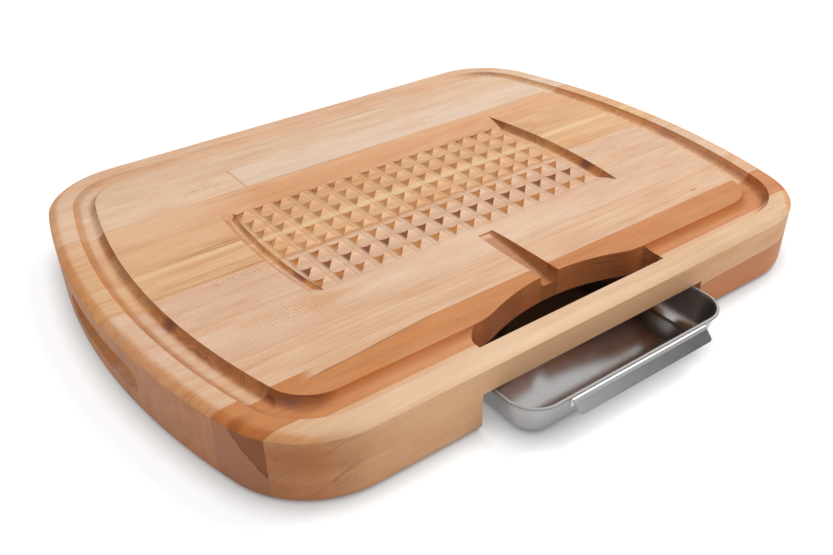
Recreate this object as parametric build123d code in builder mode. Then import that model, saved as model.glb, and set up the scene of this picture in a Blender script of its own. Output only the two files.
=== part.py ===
"""Maple carving board with a steel drip pan that pulls out from a bay under its front edge.

Millimetres, +Z up. The origin is the middle of the board's underside. +X runs along the
staves, +Y to the back, and the pan pulls out towards -Y.
"""
import os
from math import asin, atan, atan2, cos, degrees, radians, sin, sqrt, tan

from build123d import *

os.makedirs("parts", exist_ok=True)

# Board blank
board_length = 609.6
board_depth = 457.2
board_thickness = 57.15
end_radius = 628.65  # bow of the two ends, seen from above
corner_radius = 79.4
edge_radius = 15.9  # wide round-over along the top edge
edge_run = 10.0  # how far in from the side it starts; it meets the side in a crisp arris
foot_radius = 6.35  # round-over along the bottom edge

# Staves, from the front edge to the back edge
stave_width_shares = (0.069, 0.086, 0.084, 0.107, 0.115, 0.097, 0.091, 0.085, 0.088, 0.093, 0.085)
jointed_stave = 9  # this stave is glued up from two lengths
end_joint_share = -0.195  # of the board's length, from its middle

# Juice groove round the top, deeper towards the front
rim_width = 19.05
groove_width = 23.4
groove_corner_radius = 9.5
groove_front_depth = 8.0
groove_back_depth = 3.0

# Pyramids that grip the roast, in a shallow recess with a ramp at its front and back
pyramid_pitch = 19.05
pyramid_columns = 16
pyramid_rows = 8
pyramid_height = 4.3
valley_width = 1.6  # flat floor between the hollow flanks of two neighbours
ramp_run = 15.3

# Round-bottomed grooves along the two bowed ends of the recess
end_groove_radius = 8.0
end_groove_depth = 6.35

# Channel that drains the recess into the mouth
channel_width = 18.4
channel_corner_radius = 6.0
channel_start_depth = 2.3
channel_end_depth = 10.0

# Mouth cut through the front run of the groove into the pan bay
mouth_length = 195.0
mouth_corner_radius = 10.0
mouth_bulge = 16.3  # how far its back edge swells past the groove
mouth_crown_radius = 185.0

# Finger grips in the two ends
grip_length = 134.0
grip_height = 22.2
grip_depth = 15.9
grip_cove_radius = 9.5

# Drip pan
pan_width = 213.6
pan_length = 165.1
pan_height = 32.5
pan_corner_radius = 25.4
pan_sheet = 0.8
pan_wall_lean = 14.0
pan_bottom_radius = 12.7
rim_bead = 2.0
bead_round_share = 0.45
pan_pull_out = 38.4  # how far it stands forward of its closed place, flush with the front

# Pull along the pan's front, a strip pressed onto the bead and welded there
pull_width = 140.0
pull_sheet = 1.0
pull_leg = 10.0
pull_flange = 15.0
pull_flange_droop = 44.0
pull_bend_radius = 1.5
pull_corner_radius = 3.0
pull_seat = 0.5  # how deep the bead sits in the back of the strip

# Clearances of the pan in its bay
pan_side_clearance = 9.2
pan_back_clearance = 9.2
pan_head_clearance = 0.8
bay_corner_radius = 19.05

overrun = 10.0  # how far every cutter runs past the face that it opens

# Worked out from the sizes above
half_length = board_length / 2
half_depth = board_depth / 2
bow_center = half_length - end_radius
corner_center_y = half_depth - corner_radius
corner_center_x = bow_center + sqrt((end_radius - corner_radius) ** 2 - corner_center_y**2)
bow_half_angle = degrees(atan2(corner_center_y, corner_center_x - bow_center))
groove_inner = rim_width + groove_width

field_half_length = pyramid_columns * pyramid_pitch / 2
field_half_depth = pyramid_rows * pyramid_pitch / 2
recess_half_depth = field_half_depth + ramp_run

bay_width = pan_width + 2 * pan_side_clearance
bay_depth = pan_length + pan_back_clearance
bay_height = pan_height + pan_head_clearance


def bowed_outline(inset):
    """The board's plan, moved in by an inset: two straight sides, two bowed ends, round corners."""
    bow_radius = end_radius - inset
    turn_radius = corner_radius - inset
    turn_angle = 90 - bow_half_angle
    side = half_depth - inset
    with BuildSketch() as plan:
        with BuildLine():
            Line((-corner_center_x, -side), (corner_center_x, -side))
            CenterArc((corner_center_x, -corner_center_y), turn_radius, -90, turn_angle)
            CenterArc((bow_center, 0), bow_radius, -bow_half_angle, 2 * bow_half_angle)
            CenterArc((corner_center_x, corner_center_y), turn_radius, bow_half_angle, turn_angle)
            Line((corner_center_x, side), (-corner_center_x, side))
            CenterArc((-corner_center_x, corner_center_y), turn_radius, 90, turn_angle)
            CenterArc((-bow_center, 0), bow_radius, 180 - bow_half_angle, 2 * bow_half_angle)
            CenterArc((-corner_center_x, -corner_center_y), turn_radius, 180 + bow_half_angle, turn_angle)
        make_face()
    return plan.sketch


def ridged_floor(count, half_span):
    """The space over a row of ridges: hollow flanks, narrow flat valleys, and a ramp at each end."""
    flank_run = (pyramid_pitch - valley_width) / 2
    valley_z = board_thickness - pyramid_height
    top_z = board_thickness + overrun
    ramp_end = half_span + ramp_run
    with BuildSketch() as profile:
        with BuildLine():
            valley_start = -half_span
            for index in range(count):
                tip = (index - (count - 1) / 2) * pyramid_pitch
                Line((valley_start, valley_z), (tip - flank_run, valley_z))
                TangentArc((tip - flank_run, valley_z), (tip, board_thickness), tangent=(1, 0))
                TangentArc((tip + flank_run, valley_z), (tip, board_thickness), tangent=(-1, 0))
                valley_start = tip + flank_run
            Polyline(
                (valley_start, valley_z),
                (half_span, valley_z),
                (ramp_end, board_thickness),
                (ramp_end, top_z),
                (-ramp_end, top_z),
                (-ramp_end, board_thickness),
                (-half_span, valley_z),
            )
        make_face()
    return profile.sketch


# Juice groove cutter: a ring on a tilted plane, so that its floor falls to the front
groove_middle = half_depth - rim_width - groove_width / 2
groove_fall = atan((groove_front_depth - groove_back_depth) / (2 * groove_middle))
groove_plane = Plane(
    origin=(0, 0, board_thickness - (groove_front_depth + groove_back_depth) / 2),
    x_dir=(1, 0, 0),
    z_dir=(0, -sin(groove_fall), cos(groove_fall)),
)
with BuildPart() as groove_cutter:
    with BuildSketch(groove_plane):
        add(bowed_outline(rim_width))
        add(bowed_outline(groove_inner), mode=Mode.SUBTRACT)
    extrude(amount=groove_front_depth + overrun)
    fillet(groove_cutter.faces().sort_by(Axis.Z)[0].edges(), groove_corner_radius)

# Recess cutters: one leaves ridges along the staves, the other ridges across them
with BuildPart() as row_cutter:
    with BuildSketch(Plane.YZ):
        add(ridged_floor(pyramid_rows, field_half_depth))
    extrude(amount=half_length, both=True)
with BuildPart() as column_cutter:
    with BuildSketch(Plane.XZ):
        add(ridged_floor(pyramid_columns, half_length))
    extrude(amount=field_half_depth, both=True)

# Both stop at the end grooves, which bow with the ends of the board
end_groove_bow = field_half_length - bow_center + end_groove_radius
with BuildPart() as recess_cutter:
    add(row_cutter.part)
    add(column_cutter.part)
    with BuildSketch(Plane.XY):
        add(bowed_outline(0))
        with Locations((bow_center, 0)):
            Circle(end_groove_bow, mode=Mode.INTERSECT)
        with Locations((-bow_center, 0)):
            Circle(end_groove_bow, mode=Mode.INTERSECT)
    extrude(amount=board_thickness + overrun, mode=Mode.INTERSECT)

# End grooves: a round cutter's path along each bow, run out at both ends on the slope of the ramps
end_groove_half_angle = degrees(asin((recess_half_depth + overrun) / end_groove_bow))
run_out_depth = end_groove_depth + overrun
run_out = run_out_depth * ramp_run / pyramid_height
with BuildPart() as end_groove_cutter:
    with BuildLine(Plane.XY.offset(board_thickness - end_groove_depth + end_groove_radius)) as bow:
        CenterArc((bow_center, 0), end_groove_bow, -end_groove_half_angle, 2 * end_groove_half_angle)
    with BuildSketch(Plane(origin=bow.line @ 0, z_dir=bow.line % 0)):
        Circle(end_groove_radius)
    sweep(path=bow.line)
    with BuildSketch(Plane.YZ):
        with BuildLine():
            Polyline(
                (-recess_half_depth, board_thickness),
                (run_out - recess_half_depth, board_thickness - run_out_depth),
                (recess_half_depth - run_out, board_thickness - run_out_depth),
                (recess_half_depth, board_thickness),
                (recess_half_depth, board_thickness + overrun),
                (-recess_half_depth, board_thickness + overrun),
                close=True,
            )
        make_face()
    extrude(amount=half_length, mode=Mode.INTERSECT)
    mirror(about=Plane.YZ)

# Channel cutter: a round-cornered slot that falls from the recess to the mouth
groove_inner_y = -half_depth + groove_inner
mouth_front_y = -half_depth + rim_width
mouth_back_y = groove_inner_y + mouth_bulge
channel_run = -recess_half_depth - mouth_back_y
channel_fall = atan((channel_end_depth - channel_start_depth) / channel_run)
channel_plane = Plane(
    origin=(0, -recess_half_depth, board_thickness - channel_start_depth),
    x_dir=(1, 0, 0),
    z_dir=(0, -cos(channel_fall), -sin(channel_fall)),
)
channel_height = channel_end_depth + overrun
with BuildPart() as channel_cutter:
    with BuildSketch(channel_plane) as slot:
        with Locations((0, channel_height / 2)):
            Rectangle(channel_width, channel_height)
        fillet(slot.vertices().group_by(Axis.Y)[0], channel_corner_radius)
    extrude(amount=channel_run + overrun)

# Mouth cutter: straight front edge, rounded ends, and a back edge that swells to the middle
mouth_half = mouth_length / 2
mouth_flank_x = mouth_half - mouth_corner_radius
mouth_turn = 2 * atan(mouth_bulge / mouth_flank_x)
mouth_flank_radius = mouth_flank_x / sin(mouth_turn) - mouth_crown_radius
turn_x = mouth_crown_radius * sin(mouth_turn)
turn_y = mouth_back_y - mouth_crown_radius * (1 - cos(mouth_turn))
corner_y = groove_inner_y - mouth_corner_radius
with BuildPart() as mouth_cutter:
    with BuildSketch(Plane.XY.offset(pan_height)):
        with BuildLine():
            Line((-mouth_half, mouth_front_y), (mouth_half, mouth_front_y))
            for side in (-1, 1):
                Line((side * mouth_half, mouth_front_y), (side * mouth_half, corner_y))
                RadiusArc((side * mouth_half, corner_y), (side * mouth_flank_x, groove_inner_y),
                          -side * mouth_corner_radius)
                RadiusArc((side * mouth_flank_x, groove_inner_y), (side * turn_x, turn_y),
                          side * mouth_flank_radius)
            RadiusArc((-turn_x, turn_y), (turn_x, turn_y), mouth_crown_radius)
        make_face()
    extrude(amount=board_thickness - pan_height + overrun)

# Pan bay cutter: open to the front and underneath
with BuildPart() as bay_cutter:
    with BuildSketch(Plane.XY.offset(-overrun)) as bay_plan:
        with Locations((0, (bay_depth - overrun) / 2 - half_depth)):
            Rectangle(bay_width, bay_depth + overrun)
        fillet(bay_plan.vertices().group_by(Axis.Y)[-1], bay_corner_radius)
    extrude(amount=bay_height + overrun)

# Finger grip cutter: a long cove in each end, half way up
with BuildPart() as grip_cutter:
    with BuildSketch(Plane.YZ.offset(half_length - grip_depth)):
        with Locations((0, board_thickness / 2)):
            SlotOverall(grip_length, grip_height)
    extrude(amount=grip_depth + overrun)
    fillet(grip_cutter.faces().sort_by(Axis.X)[0].edges(), grip_cove_radius)
    mirror(about=Plane.YZ)

# The board as it leaves the workshop, before it is taken apart again into its staves
with BuildPart() as board:
    add(bowed_outline(edge_run - edge_radius))
    extrude(amount=board_thickness)
    fillet(board.faces().sort_by(Axis.Z)[-1].edges(), edge_radius)
    add(bowed_outline(0))
    extrude(amount=board_thickness, mode=Mode.INTERSECT)
    fillet(board.faces().sort_by(Axis.Z)[0].edges(), foot_radius)
    for cutter in (groove_cutter, recess_cutter, end_groove_cutter, channel_cutter,
                   mouth_cutter, bay_cutter, grip_cutter):
        add(cutter.part, mode=Mode.SUBTRACT)


def cut_stave(name, left, right, front, back):
    """One length of maple: the part of the board between two ends and two glue lines."""
    with BuildPart() as stave:
        add(board.part)
        with Locations(((left + right) / 2, (front + back) / 2, board_thickness / 2)):
            Box(right - left, back - front, board_thickness, mode=Mode.INTERSECT)
    stave.part.label = name
    export_step(stave.part, f"parts/{name}.step")


stave_front = -half_depth
end_joint_x = end_joint_share * board_length
for number, share in enumerate(stave_width_shares, start=1):
    stave_back = stave_front + share * board_depth
    if number == jointed_stave:
        cut_stave(f"stave_{number:02d}_left", -half_length, end_joint_x, stave_front, stave_back)
        cut_stave(f"stave_{number:02d}_right", end_joint_x, half_length, stave_front, stave_back)
    else:
        cut_stave(f"stave_{number:02d}", -half_length, half_length, stave_front, stave_back)
    stave_front = stave_back

# Drip pan: leaning walls with a beaded rim, pressed from one sheet
pan_front_y = -half_depth - pan_pull_out
pan_middle_y = pan_front_y + pan_length / 2
lean = radians(pan_wall_lean)
bead_overhang = rim_bead - pan_sheet / cos(lean)


def pan_form(inset, floor_z, bend_radius):
    """The pan's outside, or its hollow: a leaning-walled tray up to the rim."""
    with BuildPart() as form:
        with BuildSketch(Plane(origin=(0, pan_middle_y, pan_height))):
            RectangleRounded(pan_width - 2 * inset, pan_length - 2 * inset, pan_corner_radius - inset)
        extrude(amount=pan_height - floor_z, dir=(0, 0, -1), taper=pan_wall_lean)
        fillet(form.faces().sort_by(Axis.Z)[0].edges(), bend_radius)
    return form.part


with BuildPart() as bead:
    with BuildSketch(Plane(origin=(0, pan_middle_y, pan_height - rim_bead))):
        RectangleRounded(pan_width, pan_length, pan_corner_radius)
        RectangleRounded(pan_width - 2 * rim_bead, pan_length - 2 * rim_bead,
                         pan_corner_radius - rim_bead, mode=Mode.SUBTRACT)
    extrude(amount=rim_bead)
    bead_ends = bead.faces().filter_by(Axis.Z).sort_by(Axis.Z)
    fillet(bead_ends[-1].edges() + bead_ends[0].outer_wire().edges(), rim_bead * bead_round_share)
with BuildPart() as drip_pan:
    add(pan_form(bead_overhang, 0, pan_bottom_radius))
    add(bead.part)
    add(pan_form(rim_bead, pan_sheet, pan_bottom_radius - pan_sheet), mode=Mode.SUBTRACT)
drip_pan.part.label = "drip_pan"
export_step(drip_pan.part, "parts/drip_pan.step")

# Pan pull: an upright leg on the front of the bead, folded over level with the rim, with a flange
droop = radians(pull_flange_droop)
fold_y = pan_front_y + pull_seat - pull_sheet / 2
fold_rise = pull_bend_radius * (tan(radians(90 + pull_flange_droop) / 2) - 1)
fold_z = pan_height - pull_sheet / 2 + fold_rise
with BuildPart() as pan_pull:
    with BuildSketch(Plane.YZ):
        with BuildLine() as strip:
            FilletPolyline(
                (fold_y, fold_z - pull_leg),
                (fold_y, fold_z),
                (fold_y - pull_flange * cos(droop), fold_z - pull_flange * sin(droop)),
                radius=pull_bend_radius,
            )
        trace(line_width=pull_sheet)
    extrude(amount=pull_width / 2, both=True)
    flange_tip = pan_pull.faces().sort_by(Axis.Y)[0]
    fillet(flange_tip.edges().sort_by(SortBy.LENGTH)[:2], pull_corner_radius)
    add(drip_pan.part, mode=Mode.SUBTRACT)
pan_pull.part.label = "pan_pull"
export_step(pan_pull.part, "parts/pan_pull.step")
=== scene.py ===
"""Looks of a maple carving board with a steel drip pan: wood, steel, floor, light and camera.

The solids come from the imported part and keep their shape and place. Lengths in the finishes are
in millimetres on the part's own axes: X along the staves, Y to the back, Z up from the underside.
"""
from math import cos, pi, radians, sin
from types import SimpleNamespace

import bpy
from mathutils import Matrix, Vector


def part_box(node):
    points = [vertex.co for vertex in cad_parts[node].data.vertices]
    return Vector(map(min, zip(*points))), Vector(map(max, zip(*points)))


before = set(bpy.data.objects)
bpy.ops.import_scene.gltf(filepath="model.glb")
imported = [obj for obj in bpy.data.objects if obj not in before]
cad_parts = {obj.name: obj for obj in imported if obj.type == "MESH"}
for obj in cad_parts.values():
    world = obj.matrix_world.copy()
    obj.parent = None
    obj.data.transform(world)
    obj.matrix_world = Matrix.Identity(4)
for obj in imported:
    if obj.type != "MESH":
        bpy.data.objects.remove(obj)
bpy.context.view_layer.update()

# Sizes that the finishes follow, as in the part's source
BOARD_TOP = 57.15
PYRAMID_PITCH = 19.05
VALLEY_FLOOR = BOARD_TOP - 4.3
FIELD_HALF_LENGTH = 8 * PYRAMID_PITCH
FIELD_HALF_DEPTH = 4 * PYRAMID_PITCH
CHANNEL_HALF_WIDTH = 9.2
CHANNEL_BACK, CHANNEL_FRONT = -92, -176  # ends of the drain channel along Y
BOW_CENTER = 323.85  # of each bowed end, past the middle of the board
RIM_BOW = 603.0  # past this reach from the bow's centre lie only the rim and the end of the board
GRIP_BOW = 626.5  # reach of the finger grip's lip, just inside the end of the board
GRIP_LOW, GRIP_HIGH = 17.5, 39.7
GRIP_HALF_LENGTH = 70.0
ARRIS = 53.6  # height of the crisp line where the rounded top edge meets the side
END_JOINT_X = -118.87
PAN_RIM = 32.5
SCORE_OFFSET = 2.0  # of the two scored lines from the middle of a valley
MM_PER_M = 1000.0


def tint(red, green, blue):
    """A colour given from 0 to 255, as the linear colour that a shader takes."""
    shares = (red / 255, green / 255, blue / 255)
    linear = (s / 12.92 if s <= 0.04045 else ((s + 0.055) / 1.055) ** 2.4 for s in shares)
    return (*linear, 1.0)


# Washes, which multiply the colour under them
BARE = (1.0, 1.0, 1.0, 1.0)
SHADE_WARMTH = (1.06, 0.93, 0.82, 1.0)  # painted shade: warmer on faces turned from the top
BLUSH = (1.0, 0.93, 0.86, 1.0)  # soft patches along the stave
TICK_BROWN = (0.62, 0.46, 0.34, 1.0)  # flecks, and ticks across the grain
RIM_OIL = (1.0, 0.8, 0.58, 1.0)  # rounded rim
END_OIL = (0.86, 0.68, 0.57, 1.0)  # end of the board
GRIP_PAINTED_LIGHT = (1.15, 1.13, 0.86, 1.0)  # painted light with a golden tint, inside the finger grips
FLANK_OIL = (0.8, 0.74, 0.68, 1.0)  # outer wall of the groove at the left end

# Colours that the wood's colour is mixed towards, and the most that is mixed in
GLUE_BROWN, SEAM_SHARE, END_JOINT_SHARE = tint(158, 104, 66), 0.2, 0.45
SCORE_BROWN, SCORE_SHARE = tint(176, 118, 74), 0.35
# Brown of the drain channel: partly router scorch, partly painted shade
CHANNEL_SCORCH_AND_SHADE, CHANNEL_SCORCH_AND_SHADE_SHARE = tint(172, 106, 60), 0.7

# Growth rings: how far they sway and ripple, and how unlike each other they are
RING_SWAY, RING_RIPPLE = 34, 6
RING_CONTRAST = 2.5
FAINTEST_RING = 0.15

# Tone of the side grain from pale, 0, to deep, 1, and what flecks and ticks add
MID_TONE, FIBRE_TONE = 0.42, 0.5
FLECK_SHARE, DASH_SHARE = 0.35, 0.17
TICK_STEP, TICK_SLANT, TICK_WAVER = 3.5, 0.45, 9
WANDER = (24, 5, 5)  # how far the edges of marks wander along each axis

# Cut ends: how far they show where the cut faces right, on the rim and on the end of the board
RIGHT_WALL_DRINK, RIGHT_FLANK_DRINK = 0.35, 0.2
RIM_DRINK, END_FACE_DRINK = 0.3, 0.4
END_MID_TONE, END_RING_TONE, END_PORE_TONE, END_PATCH_TONE = 0.3, 0.9, 0.8, 1.6
RIM_OIL_LEAST, RIM_OIL_PATCH = 0.55, 0.8

# Painted light on the pyramids: how much lighter the points are painted than the valleys, and how
# far up the tone is unchanged
POINT_PAINTED_LIGHT, POINT_EVEN = 0.3, 0.15
CHATTER_TURN = 2.9  # cutter ripple in the channel, in radians a millimetre
CHATTER_DARK = 0.1

# Depths of the relief in the finishes
FIBRE_DEPTH = 0.03
PORE_DEPTH = 0.03
SCORE_DEPTH = 0.16
CHATTER_DEPTH = 0.05
BRUSH_DEPTH = 0.003

# Noises in the wood: the lengths of one grain, the shift past the stave's seed, the detail and,
# where it is not the usual one, the roughness
WOOD_NOISE = {
    "sway": ((420, 60, 60), 0, 1.0),
    "ripple": ((95, 13, 13), 5, 2.0),
    "fibre": ((22, 0.75, 0.75), 11, 2.0),
    "streak": ((120, 3.0, 3.0), 17, 3.0, 0.62),
    "blotch": ((52, 10, 10), 23, 2.0),
    "blush": ((64, 12, 12), 29, 2.0),
    "fleck": ((4.2, 0.9, 0.9), 31, 1.0),
    "dash": ((12, 0.6, 0.6), 37, 1.0),
    "wander": ((60, 9, 9), 41, 2.0),
    "jitter": ((7, 3.5, 3.5), 43, 1.0),
    "pore": ((2.5, 0.55, 0.55), 47, 1.0),
    "patch": ((60, 15, 9), 53, 2.0),
}


class Wire:
    """One output in a finish's node tree. Sums on wires add Math nodes to that tree."""

    def __init__(self, tree, socket=None):
        self.tree = tree
        self.socket = socket

    def node(self, kind, settings=None, sockets=None, output=0):
        """Add a node of a kind: first its settings, then the values or wires of its sockets."""
        made = self.tree.nodes.new(kind)
        for name, value in (settings or {}).items():
            setattr(made, name, value)
        for place, value in (sockets or {}).items():
            if isinstance(value, Wire):
                self.tree.links.new(value.socket, made.inputs[place])
            else:
                made.inputs[place].default_value = value
        return Wire(self.tree, made.outputs[output] if made.outputs else None)

    def math(self, operation, *values):
        return self.node("ShaderNodeMath", {"operation": operation}, dict(enumerate(values)))

    def vector(self, operation, *values, output=0):
        sockets = dict(enumerate(values))
        if operation == "SCALE":
            sockets = {0: values[0], "Scale": values[1]}
        return self.node("ShaderNodeVectorMath", {"operation": operation}, sockets, output)

    def __add__(self, other):
        return self.math("ADD", self, other)

    def __radd__(self, other):
        return self.math("ADD", other, self)

    def __sub__(self, other):
        return self.math("SUBTRACT", self, other)

    def __rsub__(self, other):
        return self.math("SUBTRACT", other, self)

    def __mul__(self, other):
        return self.math("MULTIPLY", self, other)

    def __rmul__(self, other):
        return self.math("MULTIPLY", other, self)

    def __truediv__(self, other):
        return self.math("DIVIDE", self, other)

    def __abs__(self):
        return self.math("ABSOLUTE", self)

    def least(self, other):
        return self.math("MINIMUM", self, other)

    def most(self, other):
        return self.math("MAXIMUM", self, other)

    def held(self):
        """This number, held between 0 and 1."""
        return self.most(0.0).least(1.0)

    def fade(self, start, end):
        """0 where the wire is at start, 1 where it is at end, eased at both."""
        ends = {0: self, 1: start, 2: end, 3: 0.0, 4: 1.0}
        return self.node("ShaderNodeMapRange", {"interpolation_type": "SMOOTHSTEP"}, ends)

    def swing(self, amount):
        """This noise, swinging about 0 by an amount."""
        return (self - 0.5) * amount

    def between(self, first, second):
        """The colour that lies this share of the way from a first colour to a second."""
        return self.node("ShaderNodeMix", {"data_type": "RGBA"}, {0: self, 6: first, 7: second}, 2)

    def toward(self, colour, amount):
        """This colour, mixed towards another by an amount from 0 to 1."""
        return amount.between(self, colour)

    def washed(self, wash, amount):
        """This colour under a wash, as far as an amount from 0 to 1 goes."""
        return self.vector("MULTIPLY", self, amount.between(BARE, wash))

    def shaded(self, level):
        """This colour made darker or lighter by a level, where 1 leaves it alone."""
        return self.vector("SCALE", self, level)

    def beside(self, output):
        """Another output of the node that this wire comes from."""
        return Wire(self.tree, self.socket.node.outputs[output])

    def parts(self):
        """The three numbers of this vector."""
        first = self.node("ShaderNodeSeparateXYZ", None, {0: self})
        return first, first.beside(1), first.beside(2)

    def noise(self, grain, shift, detail=2.0, roughness=0.5, output=0):
        """Noise read at this point, stretched so that one grain has the given lengths."""
        stretch = tuple(1 / length for length in grain)
        place = self.vector("MULTIPLY_ADD", self, stretch, (shift, shift * 0.37, shift * 0.71))
        sockets = {"Vector": place, "Scale": 1.0, "Detail": detail, "Roughness": roughness}
        return self.node("ShaderNodeTexNoise", None, sockets, output)

    def near(self, middle, reach):
        """1 round a middle point, fading to 0 at the given reach along each axis."""
        away = self.vector("SUBTRACT", self, middle)
        share = self.vector("DIVIDE", away, reach)
        return self.vector("LENGTH", share, output=1).fade(1.0, 0.25)

    def relief(self, strength):
        """The normal of a face with relief of this height in millimetres."""
        sockets = {"Strength": strength, "Distance": 1 / MM_PER_M, "Height": self}
        return self.node("ShaderNodeBump", None, sockets)


def new_finish(name):
    """A new material with an empty tree, and the wire that starts the tree."""
    finish = bpy.data.materials.new(name)
    finish.use_nodes = True
    tree = finish.node_tree
    tree.nodes.clear()
    return finish, Wire(tree)


def close_finish(start, sockets):
    """End a finish: its surface shader, with the given sockets, goes to the output."""
    shader = start.node("ShaderNodeBsdfPrincipled", None, sockets)
    start.node("ShaderNodeOutputMaterial", None, {"Surface": shader})


def part_point(start):
    """The point on the part in millimetres."""
    place = start.node("ShaderNodeTexCoord", None, None, "Object")
    return place.vector("MULTIPLY", place, (MM_PER_M, MM_PER_M, MM_PER_M))


# Maple


def grain(wood, kind, output=0):
    """One of the noises in the wood, shifted by the stave's seed."""
    lengths, shift, *more = WOOD_NOISE[kind]
    return wood.point.noise(lengths, wood.look["seed"] + shift, *more, output=output)


def read_wood(start, look):
    """What the steps of a stave's finish share: where a spot lies, how it faces, and noises."""
    wood = SimpleNamespace(look=look, point=part_point(start))
    wood.x, wood.y, wood.z = wood.point.parts()
    wood.away_x, wood.away_y = abs(wood.x), abs(wood.y)
    wood.ripple = grain(wood, "ripple")
    wood.fibre = grain(wood, "fibre")
    wood.pore = grain(wood, "pore")
    push = grain(wood, "wander", "Color")
    push = push.vector("MULTIPLY_ADD", push, WANDER, tuple(-length / 2 for length in WANDER))
    wood.wander = wood.point.vector("ADD", wood.point, push)

    normal = start.node("ShaderNodeNewGeometry", None, None, "Normal")
    wood.facing_x, _, wood.facing_z = normal.parts()
    wood.facing_end = abs(wood.facing_x)
    wood.tilted = wood.facing_end.fade(0.06, 0.3)
    wood.turned = wood.facing_end.fade(0.1, 0.75)

    from_bow = start.node("ShaderNodeCombineXYZ", None, {0: wood.away_x + BOW_CENTER, 1: wood.y})
    wood.bow_reach = from_bow.vector("LENGTH", from_bow, output=1)
    wood.on_rim = wood.bow_reach.fade(RIM_BOW - 3, RIM_BOW + 3)
    wood.on_end = wood.on_rim * wood.z.fade(ARRIS + 0.2, ARRIS - 0.2)
    wood.in_field = (wood.away_y.fade(FIELD_HALF_DEPTH + 1, FIELD_HALF_DEPTH)
                     * wood.away_x.fade(FIELD_HALF_LENGTH + 3, FIELD_HALF_LENGTH + 2))
    return wood


def growth_rings(wood):
    """The dark late wood of the rings round the log's heart, wavering along the stave."""
    look = wood.look
    across = wood.point.vector("MULTIPLY", wood.point, (0.0, 1.0, 1.0))
    reach = across.vector("DISTANCE", across, (0.0, *look["heart"]), output=1)
    ring = (reach + wood.x * look["taper"] + grain(wood, "sway").swing(RING_SWAY)
            + wood.ripple.swing(RING_RIPPLE)) / look["ring"]
    share = ring.math("FRACT", ring)
    number = ring.math("FLOOR", ring)
    force = number.node("ShaderNodeTexWhiteNoise", {"noise_dimensions": "1D"}, {"W": number})
    force = force.math("POWER", force, RING_CONTRAST)
    force = force * (1 - FAINTEST_RING) + FAINTEST_RING
    return share.fade(0.3, 0.93) * share.fade(1.0, 0.95) * force


def marked(colour, marks, point):
    """The wood's colour with each listed mark over it: middle, reach, tint and strength."""
    for middle, reach, mark_tint, strength in marks:
        colour = colour.toward(mark_tint, point.near(middle, reach) * strength)
    return colour


def side_grain(wood, late_wood):
    """Colour along the fibres: tone, flecks, ticks, heartwood and marks, and painted shade that
    warms the sides.
    """
    look = wood.look

    # Fibres, streaks and soft patches of tone along the stave, some of them blushed
    tone = (MID_TONE + grain(wood, "blotch").swing(look["blotch"])
            + grain(wood, "streak").swing(look["streak"])
            + wood.fibre.swing(FIBRE_TONE) + late_wood * look["lines"])
    colour = tone.held().between(look["pale"], look["deep"])
    colour = colour.washed(BLUSH, grain(wood, "blush").fade(0.5, 0.72))

    # Short ray flecks, pores, and ticks across the grain where the planer tore the wood
    fleck = grain(wood, "fleck").fade(0.58, 0.74) * look["flecks"]
    dash = grain(wood, "dash").fade(0.6, 0.76)
    colour = colour.washed(TICK_BROWN, fleck * FLECK_SHARE + dash * DASH_SHARE)
    if "ticks" in look:
        jitter = grain(wood, "jitter")
        step = (wood.x * (2 * pi / TICK_STEP) + wood.y * TICK_SLANT
                + wood.ripple.swing(TICK_WAVER) + jitter.swing(TICK_WAVER))
        tick = step.math("SINE", step).fade(0.1, 0.95)
        tick = tick * (wood.fibre * 0.8 + 0.5) * jitter.fade(0.3, 0.6)
        for middle, reach, strength in look["ticks"]:
            torn = tick * wood.point.near(middle, reach) * strength
            colour = colour.washed(TICK_BROWN, torn.held())

    if "heartwood" in look:
        colour = look["heartwood"](colour, wood.wander)
    colour = marked(colour, look.get("marks", ()), wood.wander)

    # Painted shade: faces turned away from the top, other than the ends, are tinted warmer and more
    # saturated, as wood looks in shade
    turned_from_top = wood.facing_z.fade(0.96, 0.3) * wood.facing_end.fade(0.75, 0.3)
    return colour.washed(SHADE_WARMTH, turned_from_top)


def end_share(wood):
    """How far cut ends of the fibres show: softly up the walls of the grooves, crisply on the
    flanks of the pyramids and along the rounded rim, and evenly on the end of the board."""
    to_left = wood.facing_x * -1.0
    wall = to_left.fade(-0.04, 0.45) + wood.facing_x.fade(0.0, 0.45) * RIGHT_WALL_DRINK
    flank = to_left.fade(0.08, 0.26) + wood.facing_x.fade(0.3, 0.9) * RIGHT_FLANK_DRINK
    share = wall + (flank - wall) * wood.in_field
    share = share + (wood.tilted * RIM_DRINK - share) * wood.on_rim
    return share + (END_FACE_DRINK - share) * wood.on_end * wood.turned


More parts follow.
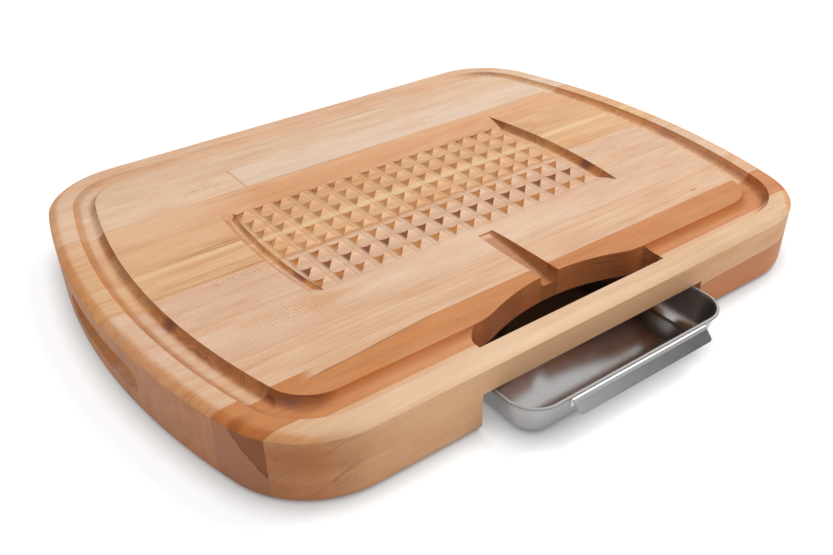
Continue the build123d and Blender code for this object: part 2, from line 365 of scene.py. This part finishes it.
def oil_ends(wood, colour, late_wood, end_cut):
    """Colour where cut ends of the fibres drink the oil: grooves, pyramids, rim and ends, with
    painted light inside the grips.
    """
    look = wood.look
    patch = grain(wood, "patch")
    end_tone = (END_MID_TONE + late_wood * END_RING_TONE + wood.pore.swing(END_PORE_TONE)
                + patch.swing(END_PATCH_TONE))
    end_colour = end_tone.held().between(look["end_pale"], look["end_deep"])
    end_colour = marked(end_colour, look.get("end_marks", ()), wood.point)
    colour = colour.toward(end_colour, end_cut * look["end_force"])

    outer_wall = wood.facing_x.fade(-0.02, 0.25) * (1 - wood.in_field) * wood.x.fade(-20, -40)
    colour = colour.washed(FLANK_OIL, outer_wall)
    oiled = (wood.tilted * wood.on_rim * (1 - wood.on_end)
             * (RIM_OIL_LEAST + patch * RIM_OIL_PATCH))
    colour = colour.washed(RIM_OIL, oiled.held())
    colour = colour.washed(END_OIL, wood.on_end * wood.turned)
    # Painted light: inside the finger grips the colour is lightened and tinted golden
    in_grip = (wood.on_end * wood.bow_reach.fade(GRIP_BOW, GRIP_BOW - 3.5)
               * wood.away_y.fade(GRIP_HALF_LENGTH + 5, GRIP_HALF_LENGTH)
               * wood.z.fade(GRIP_LOW - 0.5, GRIP_LOW + 0.5)
               * wood.z.fade(GRIP_HIGH + 0.5, GRIP_HIGH - 0.5))
    colour = colour.washed(GRIP_PAINTED_LIGHT, in_grip)
    if "end_heartwood" in look:
        colour = look["end_heartwood"](colour, wood.wander, wood.on_end)
    return colour


def glue_lines(wood, colour, seams):
    """Thin glue lines between the staves and at the end joint."""
    for seam_y in seams:
        seam = abs(wood.y - seam_y).fade(0.7, 0.1)
        colour = colour.toward(GLUE_BROWN, seam * SEAM_SHARE)
    if "end_joint" in wood.look:
        joint = abs(wood.x - END_JOINT_X).fade(1.5, 0.2)
        colour = colour.toward(GLUE_BROWN, joint * END_JOINT_SHARE)
    return colour


def maple(name, look, seams):
    """Oiled maple for one stave. Its rings and fibres run through the solid and meet at edges."""
    finish, start = new_finish(name)
    wood = read_wood(start, look)
    late_wood = growth_rings(wood)
    end_cut = end_share(wood)
    colour = side_grain(wood, late_wood)
    colour = oil_ends(wood, colour, late_wood, end_cut)
    colour = glue_lines(wood, colour, seams)

    # Painted light: pyramids are painted lighter towards their points and darker down in the
    # valleys
    up_pyramid = wood.z.fade(VALLEY_FLOOR + 0.3, BOARD_TOP - 1)
    colour = colour.shaded(1 + (up_pyramid - POINT_EVEN) * wood.in_field * POINT_PAINTED_LIGHT)

    # Two scored lines along the floor of each valley that crosses the staves
    off_valley = wood.away_x.math("PINGPONG", wood.away_x, PYRAMID_PITCH / 2)
    on_floor = (wood.z.fade(VALLEY_FLOOR + 1.6, VALLEY_FLOOR + 0.4)
                * wood.z.fade(VALLEY_FLOOR - 1.5, VALLEY_FLOOR - 0.5))
    scored = abs(off_valley - SCORE_OFFSET).fade(0.9, 0.1) * wood.in_field * on_floor
    colour = colour.toward(SCORE_BROWN, scored * SCORE_SHARE)

    # Cutter ripple, and a brown on the floor of the drain channel that is partly router scorch and
    # partly painted shade
    in_channel = (wood.away_x.fade(CHANNEL_HALF_WIDTH + 0.5, CHANNEL_HALF_WIDTH - 1)
                  * wood.y.fade(CHANNEL_BACK, CHANNEL_BACK - 8)
                  * wood.y.fade(CHANNEL_FRONT, CHANNEL_FRONT + 4)
                  * wood.z.fade(BOARD_TOP - 0.3, BOARD_TOP - 2.5))
    chatter = wood.y.math("SINE", wood.y * CHATTER_TURN) * in_channel
    colour = colour.toward(CHANNEL_SCORCH_AND_SHADE, in_channel * CHANNEL_SCORCH_AND_SHADE_SHARE)
    colour = colour.shaded(1 - chatter * CHATTER_DARK)

    roughness = 0.5 + wood.fibre.swing(0.25) - late_wood * 0.05 + end_cut * 0.1
    height = (wood.fibre.swing(FIBRE_DEPTH) + wood.pore.swing(end_cut) * PORE_DEPTH
              - scored * SCORE_DEPTH + chatter * CHATTER_DEPTH)
    close_finish(start, {
        "Base Color": colour, "Roughness": roughness, "Normal": height.relief(1.0),
        "IOR": 1.47, "Specular IOR Level": 0.2,
    })
    return finish


def amber_sapwood(colour, wander):
    """Second stave: a wedge of pale sapwood along its back edge at the left, with a dark border."""
    tip_x, length, tip_y, width = -90, 135, -157.7, 9
    x, y, _ = wander.parts()
    widening = ((tip_x - x) / length).most(0.0).least(1.2)
    past = y - (tip_y - widening * width)
    inside = x.fade(-85, -110) * x.fade(-222, -206)
    colour = colour.toward(tint(224, 178, 138), past.fade(-0.4, 0.6) * inside)
    return colour.shaded(1 - abs(past).fade(1.3, 0.2) * 0.28 * inside)


def amber_end_heart(colour, wander, on_end):
    """Second stave's left end: dark heartwood in front of a slanting line, paler sapwood behind."""
    top_y, slant = -170.5, 0.74
    x, y, z = wander.parts()
    past = y - (top_y - (BOARD_TOP - z) * slant)
    left = on_end * x.fade(-150, -220)
    colour = colour.toward(tint(184, 128, 97), past.fade(-0.6, 0.6) * left * 0.8)
    colour = colour.toward(tint(144, 88, 58), past.fade(0.6, -0.6) * left * 0.85)
    return colour.shaded(1 - abs(past).fade(1.5, 0.3) * 0.35 * left)


def tan_heart_foot(colour, wander):
    """Front stave: orange heartwood at the foot of its right half and of its left corner."""
    heart_z, heart_x, heart_slant = 28.5, 115, 0.03
    foot_z, foot_x, foot_slant = 20, -250, 0.08
    x, _, z = wander.parts()
    past = heart_z + (x - heart_x) * heart_slant - z
    right = x.fade(60, 90)
    colour = colour.toward(tint(202, 133, 88), past.fade(-0.5, 0.6) * right * 0.88)
    colour = colour.shaded(1 - abs(past).fade(1.2, 0.2) * 0.22 * right)
    left_foot = (foot_z - z - (x - foot_x) * foot_slant).fade(-6, 8) * x.fade(-150, -230)
    return colour.toward(tint(206, 140, 98), left_foot * 0.55)


# One look for each stave, front to back. The colours run from pale to deep on the sides and on
# cut ends, and cut ends show by the end force. The heart is where the log's middle lay, in Y and
# Z. A ring is as wide as its number, and the log narrows by its taper. Lines, streak, blotch and
# flecks say how strongly each shows. A mark has a middle, a reach, a tint and a strength, and a
# patch of ticks has all but the tint.
STAVE_LOOKS = {
    "stave_01": {
        "seed": 3.1, "pale": tint(236, 202, 167), "deep": tint(215, 167, 124),
        "end_pale": tint(214, 160, 120), "end_deep": tint(170, 112, 76), "end_force": 0.85,
        "heart": (-300, -45), "ring": 2.7, "taper": 0.012,
        "lines": 0.18, "streak": 0.8, "blotch": 1.0, "flecks": 0.35,
        "heartwood": tan_heart_foot,
        "marks": (
            ((-262, -222, 37), (100, 60, 24), tint(192, 132, 84), 0.75),
            ((-50, -229, 44), (210, 13, 40), tint(250, 212, 174), 0.55),
            ((-110, -219, 57), (170, 17, 12), tint(248, 214, 180), 0.4),
            ((-263, -203, 38.5), (8, 4, 2.2), tint(150, 92, 58), 0.6),
        ),
    },
    "stave_02": {
        "seed": 7.7, "pale": tint(213, 146, 93), "deep": tint(194, 123, 72),
        "end_pale": tint(186, 118, 72), "end_deep": tint(128, 72, 42), "end_force": 0.9,
        "heart": (-150, -190), "ring": 3.4, "taper": 0.01,
        "lines": 0.2, "streak": 1.0, "blotch": 1.3, "flecks": 0.25,
        "heartwood": amber_sapwood, "end_heartwood": amber_end_heart,
        "marks": (
            ((-130, -196, 50), (100, 26, 16), tint(228, 166, 118), 0.4),
            ((-276, -175.5, 55), (18, 8, 10), tint(166, 96, 50), 0.75),
        ),
        # Painted sheen: a purple-grey sheen on the curve of the groove at the left end
        "end_marks": (((-231, -174, 50), (15, 9, 8), tint(150, 104, 88), 0.8),),
    },
    "stave_03": {
        "seed": 12.3, "pale": tint(236, 199, 167), "deep": tint(214, 165, 126),
        "end_pale": tint(206, 134, 74), "end_deep": tint(152, 86, 38), "end_force": 0.9,
        "heart": (-60, 10), "ring": 2.2, "taper": 0.016,
        "lines": 0.5, "streak": 1.2, "blotch": 1.1, "flecks": 0.3,
        "marks": (((200, -148, 57), (6, 1.6, 4), tint(150, 96, 62), 0.7),),
    },
    "stave_04": {
        "seed": 18.9, "pale": tint(236, 201, 172), "deep": tint(216, 170, 136),
        "end_pale": tint(205, 137, 86), "end_deep": tint(158, 94, 52), "end_force": 0.95,
        "heart": (-96, -34), "ring": 3.2, "taper": 0.008,
        "lines": 0.15, "streak": 0.8, "blotch": 1.4, "flecks": 0.8,
        "ticks": (
            ((-168, -92, 57), (44, 17, 20), 0.7),
            ((-205, -92, 57), (34, 13, 20), 0.45),
        ),
        "marks": (
            ((-10, -95, 57), (170, 40, 20), tint(246, 216, 186), 0.28),
            ((-163, -92, 57), (26, 16, 20), tint(222, 168, 120), 0.6),
            ((-205, -88, 57), (30, 12, 20), tint(222, 176, 136), 0.5),
        ),
    },
    "stave_05": {
        "seed": 24.2, "pale": tint(233, 198, 168), "deep": tint(214, 167, 133),
        "end_pale": tint(212, 146, 88), "end_deep": tint(174, 106, 58), "end_force": 1.0,
        "heart": (-40, -120), "ring": 3.0, "taper": 0.012,
        "lines": 0.12, "streak": 0.8, "blotch": 1.4, "flecks": 0.9,
        "ticks": (((-195, -24, 57), (46, 8, 20), 0.8),),
        "end_marks": (((0, -47.6, 52), (900, 12, 900), tint(138, 82, 60), 0.9),),
    },
    "stave_06": {
        "seed": 31.5, "pale": tint(235, 194, 152), "deep": tint(213, 158, 108),
        "end_pale": tint(214, 152, 98), "end_deep": tint(166, 104, 58), "end_force": 0.9,
        "heart": (70, -50), "ring": 3.1, "taper": 0.02,
        "lines": 0.4, "streak": 1.2, "blotch": 1.2, "flecks": 0.35,
        "marks": (
            ((-40, -15.5, 56), (420, 2.6, 14), tint(196, 128, 74), 0.6),
            ((0, 20, 56), (480, 5.5, 14), tint(242, 210, 166), 0.65),
            ((-190, 25.2, 57), (80, 1.3, 12), tint(168, 108, 62), 0.6),
            ((-205, -6, 57), (70, 1.2, 12), tint(186, 124, 74), 0.5),
        ),
    },
    "stave_07": {
        "seed": 37.8, "pale": tint(231, 186, 143), "deep": tint(209, 155, 109),
        "end_pale": tint(204, 146, 96), "end_deep": tint(156, 100, 60), "end_force": 0.9,
        "heart": (52, -150), "ring": 3.3, "taper": 0.014,
        "lines": 0.35, "streak": 1.1, "blotch": 1.2, "flecks": 0.35,
        "marks": (
            ((-222, 52, 57), (120, 26, 30), tint(236, 192, 150), 0.4),
            ((-185, 28.5, 57), (60, 1.8, 12), tint(168, 110, 68), 0.6),
        ),
    },
    "stave_08": {
        "seed": 44.4, "pale": tint(232, 184, 142), "deep": tint(209, 152, 108),
        "end_pale": tint(184, 114, 66), "end_deep": tint(132, 76, 38), "end_force": 0.9,
        "heart": (140, -20), "ring": 2.6, "taper": 0.012,
        "lines": 0.25, "streak": 1.1, "blotch": 1.3, "flecks": 0.3,
        "marks": (
            ((-20, 88, 56), (220, 16, 30), tint(220, 158, 112), 0.6),
            ((-222, 93, 57), (120, 34, 30), tint(238, 200, 164), 0.5),
        ),
    },
    "stave_09_left": {
        "seed": 50.6, "pale": tint(238, 205, 175), "deep": tint(221, 180, 145),
        "end_pale": tint(218, 176, 140), "end_deep": tint(182, 134, 98), "end_force": 0.8,
        "heart": (128, -140), "ring": 3.0, "taper": 0.01,
        "lines": 0.08, "streak": 0.7, "blotch": 1.4, "flecks": 0.7,
        "end_joint": True,
        "ticks": (((-150, 128, 57), (30, 14, 20), 0.8),),
    },
    "stave_09_right": {
        "seed": 57.3, "pale": tint(235, 208, 184), "deep": tint(219, 185, 158),
        "end_pale": tint(218, 178, 144), "end_deep": tint(180, 134, 100), "end_force": 0.8,
        "heart": (180, -90), "ring": 2.8, "taper": 0.014,
        "lines": 0.1, "streak": 0.7, "blotch": 1.3, "flecks": 0.5,
        "end_joint": True,
    },
    "stave_10": {
        "seed": 63.9, "pale": tint(233, 200, 170), "deep": tint(214, 172, 137),
        "end_pale": tint(202, 154, 118), "end_deep": tint(158, 110, 78), "end_force": 0.85,
        "heart": (165, -170), "ring": 3.3, "taper": 0.01,
        "lines": 0.15, "streak": 0.9, "blotch": 1.4, "flecks": 0.4,
        "marks": (((40, 184, 57), (85, 3.2, 14), tint(198, 146, 112), 0.6),),
    },
    "stave_11": {
        "seed": 70.2, "pale": tint(230, 192, 159), "deep": tint(211, 162, 126),
        "end_pale": tint(202, 148, 108), "end_deep": tint(156, 104, 70), "end_force": 0.9,
        "heart": (260, -10), "ring": 2.5, "taper": 0.012,
        "lines": 0.2, "streak": 1.0, "blotch": 1.3, "flecks": 0.3,
    },
}


# Steel

BLACK = (0.0, 0.0, 0.0, 1.0)
STEEL = (0.5, 0.492, 0.487, 1.0)
STEEL_LEVEL = 0.92
BEAD_DARK, BEAD_DULL = 0.3, 0.25
DRAWN_DULL = 0.18

# Each finish has the lengths of one brushed line, a roughness, and how much a painted highlight
# lightens its top
STEEL_LOOKS = {
    "drip_pan": {
        "finish": "pan_steel_pressed", "brush": (40, 0.5, 0.5), "dull": 0.17, "painted_top_highlight": 0.0,
    },
    "pan_pull": {
        "finish": "pan_steel_strip", "brush": (60, 0.4, 0.4), "dull": 0.05, "painted_top_highlight": 0.35,
    },
}


def satin_steel(look):
    """Rolled stainless sheet with a satin face: brushed, smudged, dull where it was drawn up."""
    finish, start = new_finish(look["finish"])
    point = part_point(start)
    lines = point.noise(look["brush"], 4.0, 3.0, 0.6)
    smudge = point.noise((26, 21, 19), 9.0, 3.0, 0.55)
    wipe = point.noise((9, 60, 9), 15.0, 2.0)
    height_z = point.parts()[2]
    on_bead = height_z.fade(PAN_RIM - 2.1, PAN_RIM - 1.7)
    drawn = height_z.fade(2, 7)
    # Painted highlight: a lighter band towards the top, along the pull's fold
    painted_highlight_band = height_z.fade(24, 30)
    level = (STEEL_LEVEL + smudge.swing(0.14) + lines.swing(0.16) - on_bead * BEAD_DARK
             + painted_highlight_band * look["painted_top_highlight"])
    roughness = (look["dull"] + drawn * DRAWN_DULL + on_bead * BEAD_DULL
                 + smudge.swing(0.06) + wipe.swing(0.05) + lines.swing(0.06))
    close_finish(start, {
        "Base Color": level.between(BLACK, STEEL), "Metallic": 1.0, "Roughness": roughness,
        "Normal": lines.swing(BRUSH_DEPTH).relief(0.5),
    })
    return finish


def dress(node, finish):
    """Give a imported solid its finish."""
    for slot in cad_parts[node].material_slots:
        slot.link = "OBJECT"
        slot.material = finish


board_nodes = sorted(STAVE_LOOKS)
front_edge = min(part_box(node)[0].y for node in board_nodes) * MM_PER_M
back_edge = max(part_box(node)[1].y for node in board_nodes) * MM_PER_M
for node in board_nodes:
    low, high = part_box(node)
    sides = (low.y * MM_PER_M, high.y * MM_PER_M)
    seams = [side for side in sides if front_edge + 1 < side < back_edge - 1]
    dress(node, maple("maple_" + node, STAVE_LOOKS[node], seams))
for node, look in STEEL_LOOKS.items():
    dress(node, satin_steel(look))


# Floor, light and camera, in metres

WHITE = (1.0, 1.0, 1.0, 1.0)
SHEET_LIGHTING = (0.88, 0.88, 0.88, 1.0)  # the floor as it throws light back on the part
SHEET_SEEN = (0.4, 0.4, 0.4, 1.0)  # the floor as it is seen, before the lift
SHEET_HALF = 20.0
FLOOR_LIFT = 0.79
CONTACT_REACH = 0.02  # of the dark line where the part meets the floor
ROOM_LIGHT = 0.5
LAMP_LIGHT = 0.5  # what the lamp adds on the board's top, where 1 shows a colour as it is written
LAMP_LENGTH, LAMP_WIDTH = 2.2, 1.8
LAMP_AWAY = 5.0
LAMP_RISE = radians(54)
LAMP_TURN = radians(2)  # from the right-hand end towards the back
DIM_SIDE = (0.908, -0.243, 0.342)  # the way to the side of the room that steel mirrors as grey
DIM_SHARE = 0.9
CAMERA_AWAY = 0.711054


def camera_ray(start):
    """1 for rays that come straight from the camera. Other kinds of ray are beside it."""
    return start.node("ShaderNodeLightPath", None, None, "Is Camera Ray")


def seen_bare(ray):
    """1 for what the camera sees, straight or mirrored in the steel, and 0 for light on its way."""
    return ray.most(ray.beside("Is Glossy Ray")).most(ray.beside("Is Transmission Ray"))


def lay_floor():
    """A wide white sheet under the board, lifted where it is seen, so that its shadow is light."""
    corners = [(x * SHEET_HALF, y * SHEET_HALF, 0) for x, y in ((-1, -1), (1, -1), (1, 1), (-1, 1))]
    mesh = bpy.data.meshes.new("floor")
    mesh.from_pydata(corners, [], [(0, 1, 2, 3)])
    floor = bpy.data.objects.new("floor", mesh)
    bpy.context.scene.collection.objects.link(floor)
    finish, start = new_finish("white_sheet")
    seen = seen_bare(camera_ray(start))
    clear = start.node("ShaderNodeAmbientOcclusion", None, {"Distance": CONTACT_REACH}, "AO")
    lifted = seen * clear * FLOOR_LIFT
    lift = start.node("ShaderNodeCombineXYZ", None, {0: lifted, 1: lifted, 2: lifted})
    close_finish(start, {
        "Base Color": seen.between(SHEET_LIGHTING, SHEET_SEEN), "Roughness": 1.0,
        "Specular IOR Level": 0.0, "Emission Color": lift, "Emission Strength": 1.0,
    })
    mesh.materials.append(finish)


def light_room():
    """An even pale room, white where the camera sees it, and one large soft lamp on the right."""
    world = bpy.data.worlds.new("pale_room")
    bpy.context.scene.world = world
    world.use_nodes = True
    world.node_tree.nodes.clear()
    start = Wire(world.node_tree)
    way = start.node("ShaderNodeTexCoord", None, None, "Generated")
    dim_side = way.vector("DOT_PRODUCT", way, DIM_SIDE, output=1).fade(0.81, 0.93)
    ray = camera_ray(start)
    mirrored = ray.beside("Is Glossy Ray")
    strength = seen_bare(ray) * (1 - ROOM_LIGHT) + ROOM_LIGHT
    strength = strength * (1 - dim_side * mirrored * DIM_SHARE)
    room = start.node("ShaderNodeBackground", None, {"Color": WHITE, "Strength": strength})
    start.node("ShaderNodeOutputWorld", None, {"Surface": room})

    lamp_data = bpy.data.lights.new("soft_lamp", "AREA")
    lamp_data.shape = "RECTANGLE"
    lamp_data.size = LAMP_LENGTH
    lamp_data.size_y = LAMP_WIDTH
    lamp_data.energy = LAMP_LIGHT * pi**2 * LAMP_AWAY**2 / sin(LAMP_RISE)
    lamp = bpy.data.objects.new("soft_lamp", lamp_data)
    bpy.context.scene.collection.objects.link(lamp)
    level = cos(LAMP_RISE)
    toward_lamp = Vector((level * cos(LAMP_TURN), level * sin(LAMP_TURN), sin(LAMP_RISE)))
    lamp.location = toward_lamp * LAMP_AWAY
    lamp.rotation_euler = toward_lamp.to_track_quat("Z", "Y").to_euler()


def set_camera():
    """The view of the photograph: from the front left, looking down."""
    azimuth = radians(-36.166)
    elevation = radians(35.232)
    roll = radians(-0.857)
    target = Vector((-0.085748, -0.11263, 0.028))
    level = cos(elevation)
    back = Vector((sin(azimuth) * level, -cos(azimuth) * level, sin(elevation)))
    right = (-back).cross(Vector((0, 0, 1))).normalized()
    up = right.cross(-back)
    rolled_right = right * cos(roll) + up * sin(roll)
    rolled_up = up * cos(roll) - right * sin(roll)
    camera_data = bpy.data.cameras.new("camera")
    camera_data.sensor_width = 36.0
    camera_data.lens = 38.628
    camera_data.shift_x = -0.00217
    camera_data.shift_y = 0.03756
    camera_data.clip_start = 0.01
    camera = bpy.data.objects.new("camera", camera_data)
    bpy.context.scene.collection.objects.link(camera)
    turn = Matrix((rolled_right, rolled_up, back)).transposed().to_4x4()
    camera.matrix_world = Matrix.Translation(target + back * CAMERA_AWAY) @ turn
    bpy.context.scene.camera = camera


lay_floor()
light_room()
set_camera()
bpy.context.scene.view_settings.view_transform = "Standard"
